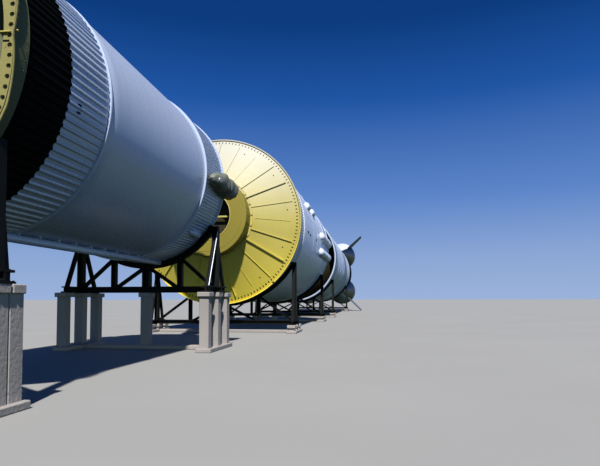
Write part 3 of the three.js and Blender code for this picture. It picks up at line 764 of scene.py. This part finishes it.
# The first stage's forward dome and skirt lining: primer darkened to a painted shade.
bm = bmesh.new()
turned(bm, [*reversed(dome(FIRST.skirt + GAP, FIRST_DOME, -330)), (FIRST.skirt + LAP, FIRST_DOME),
            (FIRST.skirt + LAP, 0)])
closed_ring(bm, FIRST.forward + 1, FIRST.skirt, FIRST_DOME + 0.4, FIRST_INNER - GAP, edge=0.3)
piece("first_tank_dome", bm, "primer", finish="painted_shade_inside")

bm = bmesh.new()
turned(bm, [
    (FIRST.skirt + LAP + 1, STAGE_INNER), (FIRST.skirt + LAP + 1, FIRST_DOME + 0.4),
    (FIRST.skirt + GAP, FIRST_DOME + 0.4), (FIRST.skirt + GAP, STAGE_RADIUS),
    *[(station, STAGE_RADIUS) for station in range(5320, 6480, 60)], (FIRST.tank, STAGE_RADIUS),
    (FIRST.tank, STAGE_INNER),
])
bands(bm, (5500, 5810, 6120, 6430), 3, 2, STAGE_RADIUS - 1, STAGE_RADIUS + 2)
piece("first_oxidiser_tank_shell", bm, "white_paint", ["first_oxidiser_tank"])

bm = bmesh.new()
ribbed(bm, FIRST.tank + GAP, FIRST.intertank, **INTERTANK_RIBS, inner=STAGE_INNER, edge=3)
piece("first_ribbed_intertank", bm, "white_paint", ["first_intertank"])

bm = bmesh.new()
turned(bm, [
    (FIRST.intertank + GAP, STAGE_INNER), (FIRST.intertank + GAP, STAGE_RADIUS),
    *[(station, STAGE_RADIUS) for station in range(7220, 7900, 60)], (FIRST.fuel, STAGE_RADIUS),
    (FIRST.fuel, STAGE_INNER),
])
bands(bm, (7350, 7640), 3, 2, STAGE_RADIUS - 1, STAGE_RADIUS + 2)
piece("first_fuel_tank_shell", bm, "white_paint", ["first_fuel_tank"])

bm = bmesh.new()
ribbed(bm, FIRST.fuel + GAP, FIRST.base - 10, **STAGE_RIBS, inner=STAGE_INNER)
turned(bm, [
    (FIRST.base - 10, STAGE_INNER), (FIRST.base - 10, STAGE_RADIUS + 2),
    (FIRST.base, STAGE_RADIUS + 2), (FIRST.base, 300), (FIRST.base - 2, 298), (FIRST.base, 296),
    (FIRST.base, 0),
])
piece("first_ribbed_thrust_section", bm, "black_paint", ["first_thrust_section"])


def fairing(i, angle):
    """An engine fairing, half sunk in the stage's side."""
    bm = bmesh.new()
    place = at(0, angle, OUTER_ENGINES)
    turned(bm, FAIRING, 72, place)
    for x in (8050, 8250, 8440):
        radius = between(x, (7880, 46), (8560, 238))
        turned(bm, [(x - 3, radius - 3), (x - 2, radius + 2), (x + 2, radius + 3), (x + 3, radius - 2)], 72, place)
    piece(f"first_fairing_shell_{i}", bm, "white_paint", [f"first_fairing_{i}"], finish="quartered")


def fin(i, angle):
    """A fin of wedge section with a blunt nose."""
    bm = bmesh.new()
    rows = []
    for radius, lead, trail in FIN:
        side = [(lead + 6, 3), (lead + 60, FIN_HALF), (trail - 3, FIN_HALF), (trail, FIN_HALF - 1)]
        section = [(lead, 0), *side, *((x, -y) for x, y in reversed(side))]
        rows.append([at(0, angle) @ Vector((x, y, radius)) for x, y in section])
    capped(bm, rows)
    piece(f"first_fin_{i}", bm, "white_paint", finish="fin_grey")


for i, angle in enumerate(ENGINE_ANGLES, 1):
    fairing(i, angle)
    fin(i, angle)


# Engines.
def engine(name, kind, gimbal, angle, radius, pump_angle, body):
    """An engine about its gimbal point: bell with hoops, chamber, pump, ducts and exhaust collar."""
    bm = bmesh.new()
    y, z = -radius * cos(radians(angle)), radius * sin(radians(angle))
    place = AXIS @ Matrix.Translation((gimbal, y, z))
    length, ball, neck = kind.length, kind.ball, kind.length * 0.19
    throat, exit_radius, wall = kind.throat, kind.exit, kind.wall

    def wall_radius(share):
        return throat + (exit_radius - throat) * share * (1.55 - 0.55 * share)

    shares = [i / 20 for i in range(21)]
    outer = [(neck + (length - neck) * s, wall_radius(s)) for s in shares]
    inner = [(x, r - wall) for x, r in reversed(outer)]
    turned(bm, [
        (-ball, 0), (-ball * 0.9, ball * 0.5), (-ball * 0.5, ball * 0.85), (0, ball),
        (ball * 0.9, ball * 0.85), (ball * 1.3, ball * 0.75), (ball * 1.45, kind.chamber * 0.95),
        (ball * 1.7, kind.chamber), (neck * 0.62, kind.chamber),
        (neck * 0.82, throat + (kind.chamber - throat) * 0.4), *outer, *inner, (neck, 0),
    ], 64, place)
    for i in range(1, kind.hoops + 1):
        share = i / (kind.hoops + 0.4)
        x, r = neck + (length - neck) * share, wall_radius(share)
        half = max(wall * 0.55, 1.2)
        hoop = [(x - half, r - 1), (x - half * 0.5, r + half), (x + half * 0.5, r + half), (x + half, r - 1)]
        turned(bm, hoop, 64, place)
    # The turbine's exhaust collar.
    side = place @ Matrix.Rotation(radians(90 - pump_angle), 4, "X")
    collar = neck + (length - neck) * 0.45
    collar_radius = wall_radius(0.45)
    turns = [2 * pi * i / 24 for i in range(25)]
    loop = [(collar, collar_radius * sin(turn), collar_radius * cos(turn)) for turn in turns]
    swept(bm, loop, kind.pump * 0.28, 10, side)
    # The pump with its flanges and its two ducts.
    pump, out = kind.pump, kind.chamber + kind.pump * 1.25
    start, end = ball * 1.8, length * 0.36
    turned(bm, [
        (start, 0), (start, pump * 0.6), (start + pump * 0.3, pump * 0.95),
        (start + (end - start) * 0.4, pump), (start + (end - start) * 0.42, pump * 0.7),
        (start + (end - start) * 0.55, pump * 0.7), (start + (end - start) * 0.58, pump),
        (end - pump * 0.3, pump * 0.9), (end, pump * 0.55), (end, 0),
    ], 32, side @ Matrix.Translation((0, 0, out)))
    swept(bm, [(end - 2, 0, out), (end + pump * 0.8, 0, out), (collar, 0, collar_radius)], pump * 0.42, 12, side)
    middle = neck * 0.55
    swept(bm, [(middle, 0, 0), (middle, 0, out)], pump * 0.45, 12, side)
    swept(bm, [(start + pump, pump * 0.5, out), (middle, kind.chamber * 0.9, 0)], pump * 0.3, 10, side)
    swept(bm, [(start + pump, -pump * 0.5, out), (middle, -kind.chamber * 0.9, 0)], pump * 0.3, 10, side)
    piece(f"{name}_bell", bm, "bell_metal", [name], body=body)


engine("service_engine", SERVICE_ENGINE, SERVICE_GIMBAL, 0, 0, 90, "service_engine")
engine("third_engine", UPPER_ENGINE, THIRD_GIMBAL, 0, 0, 90, "third_engine")
for stage, kind, gimbal, ring_radius in RINGS:
    for i, angle in enumerate(ENGINE_ANGLES, 1):
        engine(f"{stage}_engine_{i}", kind, gimbal, angle, ring_radius, angle + 180, f"{stage}_engine_{i}")
    engine(f"{stage}_engine_centre", kind, gimbal, 0, 0, 90, "root")

# Spacecraft.
bm = bmesh.new()
turned(bm, ESCAPE_MOTOR, 48)
for angle in ENGINE_ANGLES:
    lean = Matrix.Rotation(radians(-28), 4, "Y")
    turned(bm, [(-10, 0), (-10, 4), (16, 8), (17, 7), (12, 0)], 20, at(-1552, angle, 36) @ lean)
piece("escape_motor", bm, "white_paint", ["escape_rocket"])

bm = bmesh.new()
turned(bm, CAPSULE, 96)
for station in (-1100, -1000):
    radius = between(station, (-1204, 62), (-876, 195))
    turned(bm, [(station - 1, radius - 1.5), (station, radius + 0.7), (station + 1, radius - 0.6)], 96)
for angle in (20, 65, 110, 160):
    lean = Matrix.Rotation(radians(-22), 4, "Y")
    block(bm, (-17, -13, -4), (17, 13, 1.4), at(-990, angle, 149) @ lean)
piece("capsule_shell", bm, "bare_metal", ["command_module"])

bm = bmesh.new()
turned(bm, MODULE, 96)
bands(bm, (-850, -640, -430), 4, 3, MODULE_RADIUS - 1, MODULE_RADIUS + 1.2, 96)
for angle in around(6):
    block(bm, (-846, -1.5, -1), (-434, 1.5, 0.8), at(0, angle + 15, MODULE_RADIUS), 0.3)
for angle in ENGINE_ANGLES:
    block(bm, (-34, -22, -4), (34, 22, 18), at(THRUSTERS, angle, MODULE_RADIUS), 6)
    for way in (-1, 1):
        tip = at(THRUSTERS, angle, MODULE_RADIUS + 14)
        swept(bm, [(way * 30, 0, 0), (way * 44, 0, 4)], 5, 12, tip)
        swept(bm, [(0, way * 18, 0), (0, way * 32, 4)], 5, 12, tip)
for i in range(10):
    block(bm, (-620 + 16 * i, -45, -1), (-613 + 16 * i, 45, 1.6), at(0, 330, MODULE_RADIUS - 1.5), 0.3)
piece("service_module_shell", bm, "bare_metal", ["service_module"])


# Cradles and their footings.
def beam(bm, start, end, size):
    """A rolled beam of I section between two points."""
    start, end = Vector(start), Vector(end)
    way = (end - start).normalized()
    side = Vector((1, 0, 0)) if abs(way.x) < 0.9 else Vector((0, 1, 0))
    side = (side - way * side.dot(way)).normalized()
    over = way.cross(side)
    half, web, inside = size / 2, size * 0.12, size * 0.3
    section = [(-half, -half), (half, -half), (half, -inside), (web, -inside), (web, inside), (half, inside),
               (half, half), (-half, half), (-half, inside), (-web, inside), (-web, -inside), (-half, -inside)]
    rows = [[AXIS @ (spot + side * a + over * b) for a, b in section] for spot in (start, end)]
    capped(bm, rows)


def cradle(name, station, radius, base, reach, tip, side_angle):
    """A rolled saddle with stiffeners, posts, braces, base beams and bolted feet."""
    bm = bmesh.new()
    angles = [-90 - tip + 2 * tip * i / 48 for i in range(49)]
    half = SADDLE.wide / 2
    aft = [(half, 24), (half, 18), (5, 18), (5, 6), (half, 6), (half, GAP + 1)]
    section = [*((-x, out) for x, out in reversed(aft)), *aft]
    rows = [[at(station, angle) @ Vector((x, 0, radius + out)) for x, out in section] for angle in angles]
    capped(bm, rows)
    for angle in angles[4:-4:5]:
        block(bm, (1 - half, -2, 5), (half - 1, 2, 19), at(station, angle, radius), 0.3)
    under = radius + SADDLE.thick / 2
    side = under * sin(radians(side_angle))
    side_top = -under * cos(radians(tip))
    inner = radius * 0.45
    inner_top = -sqrt(under ** 2 - inner ** 2)
    foot = base + POST / 2
    beam(bm, (station, -side - POST, foot), (station, side + POST, foot), POST)
    beam(bm, (station, 0, -under), (station, 0, foot), POST * 1.2)
    for hand in (-1, 1):
        beam(bm, (station, hand * side, side_top), (station, hand * side, foot), POST)
        beam(bm, (station, hand * inner, inner_top), (station, hand * inner, foot), POST * 0.8)
        beam(bm, (station, 0, -under), (station, hand * inner, foot), BRACE)
        beam(bm, (station, hand * inner, inner_top), (station, hand * side, foot), BRACE)
        beam(bm, (station - reach, hand * side, foot), (station + reach, hand * side, foot), POST)
        for way in (-1, 1):
            y = hand * side
            beam(bm, (station, y, side_top - POST), (station + way * (reach - POST / 2), y, foot), BRACE)
            x = station + way * (reach - 14)
            block(bm, (x - 12, y - 18, base), (x + 12, y + 18, base + 4))
            bolts(bm, [upright(x + a, y + b, base + 4) for a in (-8, 8) for b in (-15, 15)], 2, 2)
    piece(f"{name}_steelwork", bm, "black_steel", [f"{name}_cradle"])


def footing(name, station, radius, base, reach, _tip, side_angle):
    """Cast pads on slender columns, on strips that lie on the floor."""
    bm = bmesh.new()
    side = (radius + SADDLE.thick / 2) * sin(radians(side_angle))
    top = base - GAP
    strip_top = PAD.strip - AXIS_HEIGHT

    def box(x, y, long, wide, low, high):
        block(bm, (x - long, y - wide, low), (x + long, y + wide, high), edge=2)

    box(station, 0, PAD.width / 2, side, -AXIS_HEIGHT, strip_top)
    pads = [(station, 0)]
    for hand in (-1, 1):
        box(station, hand * side, reach + PAD.length / 2, PAD.width / 2 + 6, -AXIS_HEIGHT, strip_top)
        pads += [(station + way * reach, hand * side) for way in (-1, 0, 1)]
    for x, y in pads:
        box(x, y, PAD.column / 2, PAD.column / 2, -AXIS_HEIGHT, top)
        box(x, y, min(PAD.length, reach * 0.9) / 2, PAD.width / 2, top - PAD.thick, top)
    piece(f"{name}_pads", bm, "concrete", [f"{name}_footing"])


def painted_brace_highlight(name, station, radius, base, reach, tip, side_angle):
    """A pale tube down the outer side of a cradle's side leg: a painted highlight for the sunlit edge of the brace, not
    a rope.
    """
    bm = bmesh.new()
    under = radius + SADDLE.thick / 2
    side = under * sin(radians(side_angle)) + POST / 2
    top = -under * cos(radians(tip)) - POST
    swept(bm, [(station - 14, -side, top), (station - reach, -side, base + POST)], 1.8)
    piece(f"{name}_stay", bm, "white_paint")


for row in CRADLES:
    cradle(*row)
    footing(*row)
# Only the third stage's aft cradle gets this painted highlight.
painted_brace_highlight(*next(row for row in CRADLES if row[0] == "third_aft"))

# The solids get the finish of their slots, for those that no piece stands for.
SLOTS = {row["node"]: row["material_slot"] for row in frame["record"]["subparts"]}
for name, solid in frame["nodes"].items():
    solid.data.materials.clear()
    solid.data.materials.append(MATERIALS[SLOTS[name]])


# Floor, light and camera.
def studio_floor():
    """A plain pale floor, which casts no light of its own on the rocket."""
    bm = bmesh.new()
    quads(bm, [[(x, y, 0) for y in (-FLOOR, FLOOR)] for x in (-FLOOR, FLOOR)], closed=False)
    mesh = bpy.data.meshes.new("studio_floor")
    bm.to_mesh(mesh)
    bm.free()
    floor = placed("studio_floor", mesh)
    material, tree, surface, place = shader("studio_floor", 0.9, specular=0.2)
    shade = spread(tree, noise(tree, place, 1.5), 0.3, 0.7)
    tree.links.new(mixed(tree, shade, (0.29, 0.29, 0.28), (0.31, 0.31, 0.30)), surface["Base Color"])
    floor.data.materials.append(material)
    floor.visible_diffuse = False
    floor.visible_glossy = False


def studio_dome():
    """A dome that is pale at eye level and bluer above; below, lit ground fades to the rocket's shadow."""
    world = bpy.data.worlds.new("studio")
    bpy.context.scene.world = world
    world.use_nodes = True
    tree = world.node_tree
    way = tree.nodes.new("ShaderNodeTexCoord").outputs["Generated"]
    level = node(tree, "ShaderNodeSeparateXYZ", {"Vector": way}).outputs["Z"]
    ramp = node(tree, "ShaderNodeValToRGB", {"Fac": spread(tree, level, -1, 1)})
    stops = ramp.color_ramp.elements
    while len(stops) < len(DOME):
        stops.new(0.5)
    for stop, (height, colour) in zip(stops, DOME):
        stop.position = height
        stop.color = (*colour, 1)
    facing = node(tree, "ShaderNodeVectorMath", {0: way, 1: GROUND.towards})
    facing.operation = "DOT_PRODUCT"
    lit = spread(tree, facing.outputs["Value"], *GROUND.fade)
    lit_ground = mixed(tree, lit, GROUND.shaded, GROUND.sunlit)
    ground = mixed(tree, spread(tree, level, *GROUND.reach), GROUND.shaded, lit_ground)
    below = spread(tree, level, -0.01, -0.02)
    tree.links.new(mixed(tree, below, ramp.outputs["Color"], ground), tree.nodes["Background"].inputs["Color"])


def studio_sun():
    """The sun, half way up, ahead of the rocket and a little to the viewer's side."""
    light = bpy.data.lights.new("key", "SUN")
    light.energy = SUN.strength
    light.angle = radians(SUN.width)
    light.color = SUN.colour
    lamp = placed("key", light)
    lamp.rotation_mode = "QUATERNION"
    lamp.rotation_quaternion = Vector(SUN.towards).to_track_quat("Z", "Y")


def photo_camera():
    """The camera where the photo was taken, turned by its yaw, pitch and roll."""
    yaw, pitch, roll = CAMERA.yaw, CAMERA.pitch, CAMERA.roll
    forward = Vector((cos(pitch) * cos(yaw), cos(pitch) * sin(yaw), sin(pitch)))
    level = forward.cross(Vector((0, 0, 1))).normalized()
    over = level.cross(forward)
    right = level * cos(roll) + over * sin(roll)
    up = over * cos(roll) - level * sin(roll)
    lens = bpy.data.cameras.new("photo_view")
    lens.lens = CAMERA.lens
    lens.sensor_width = CAMERA.sensor
    lens.shift_y = CAMERA.shift
    lens.clip_start = 0.05
    lens.clip_end = 2 * FLOOR
    camera = placed("photo_view", lens)
    camera.matrix_world = Matrix.Translation(CAMERA.place) @ Matrix((right, up, -forward)).transposed().to_4x4()
    bpy.context.scene.camera = camera
    bpy.context.scene.view_settings.view_transform = "Standard"


studio_floor()
studio_dome()
studio_sun()
photo_camera()
